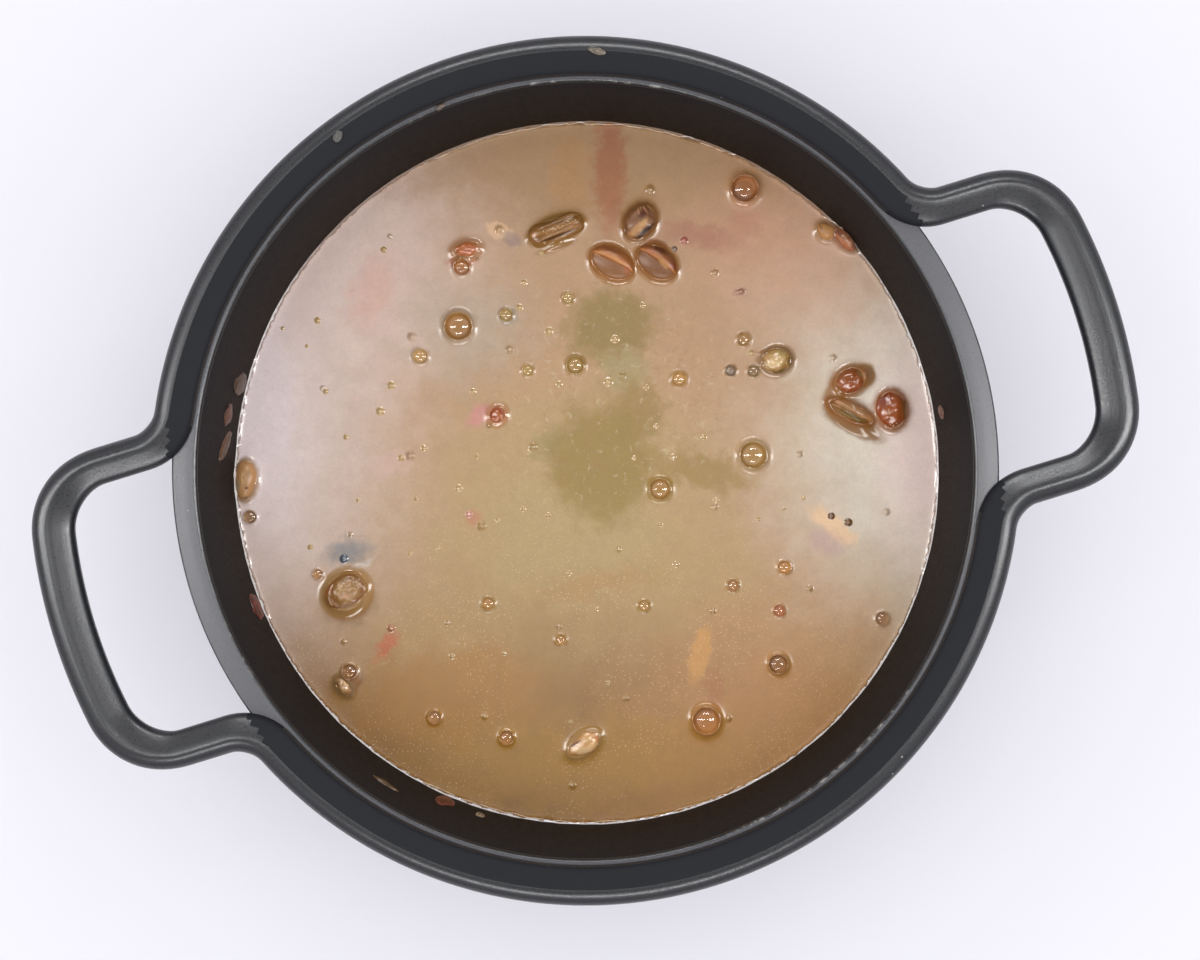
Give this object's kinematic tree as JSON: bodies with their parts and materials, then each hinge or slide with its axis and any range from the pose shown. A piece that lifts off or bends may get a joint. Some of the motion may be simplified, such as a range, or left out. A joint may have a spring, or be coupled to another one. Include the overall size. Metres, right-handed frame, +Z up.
{
  "type": "pot of brothy rice",
  "caption": "Two-handled casserole half full of cloudy rice broth with beans, mushroom and tomato floating in it.",
  "frame": {"origin": "middle of the pot's base, on the surface that the pot stands on", "axes": "+Z up out of the pot's mouth, +X from the middle towards one handle, +Y towards the side with the three beans"},
  "size_m": [0.3998, 0.312, 0.128],
  "materials": {
    "pot_coating": "matt charcoal non-stick coating with a fine grain on cast aluminium, brown cooking film inside",
    "broth": "wet, cloudy golden brown liquid with a pale pinkish film, bubbles and fine oil specks",
    "bean": "boiled, wet, brown skin with a tan rim",
    "mushroom": "boiled, wet, olive brown with pale flesh",
    "tomato": "boiled, wet, dark red brown",
    "chicken": "boiled, wet, pale orange beige flesh"
  },
  "bodies": {
    "root": {"pot": "pot_coating", "broth": "broth", "bean_upper": "bean", "bean_left": "bean", "bean_right": "bean", "bean_at_wall": "bean", "seed_at_wall": "bean", "mushroom_stem": "mushroom", "mushroom_cap": "mushroom", "mushroom_chunk": "mushroom", "mushroom_slice": "mushroom", "tomato_lobe": "tomato", "tomato_round": "tomato", "tomato_shred": "tomato", "tomato_at_wall": "tomato", "tomato_crumb": "tomato", "chicken_shred": "chicken", "chicken_flake": "chicken"}
  },
  "joints": []
}
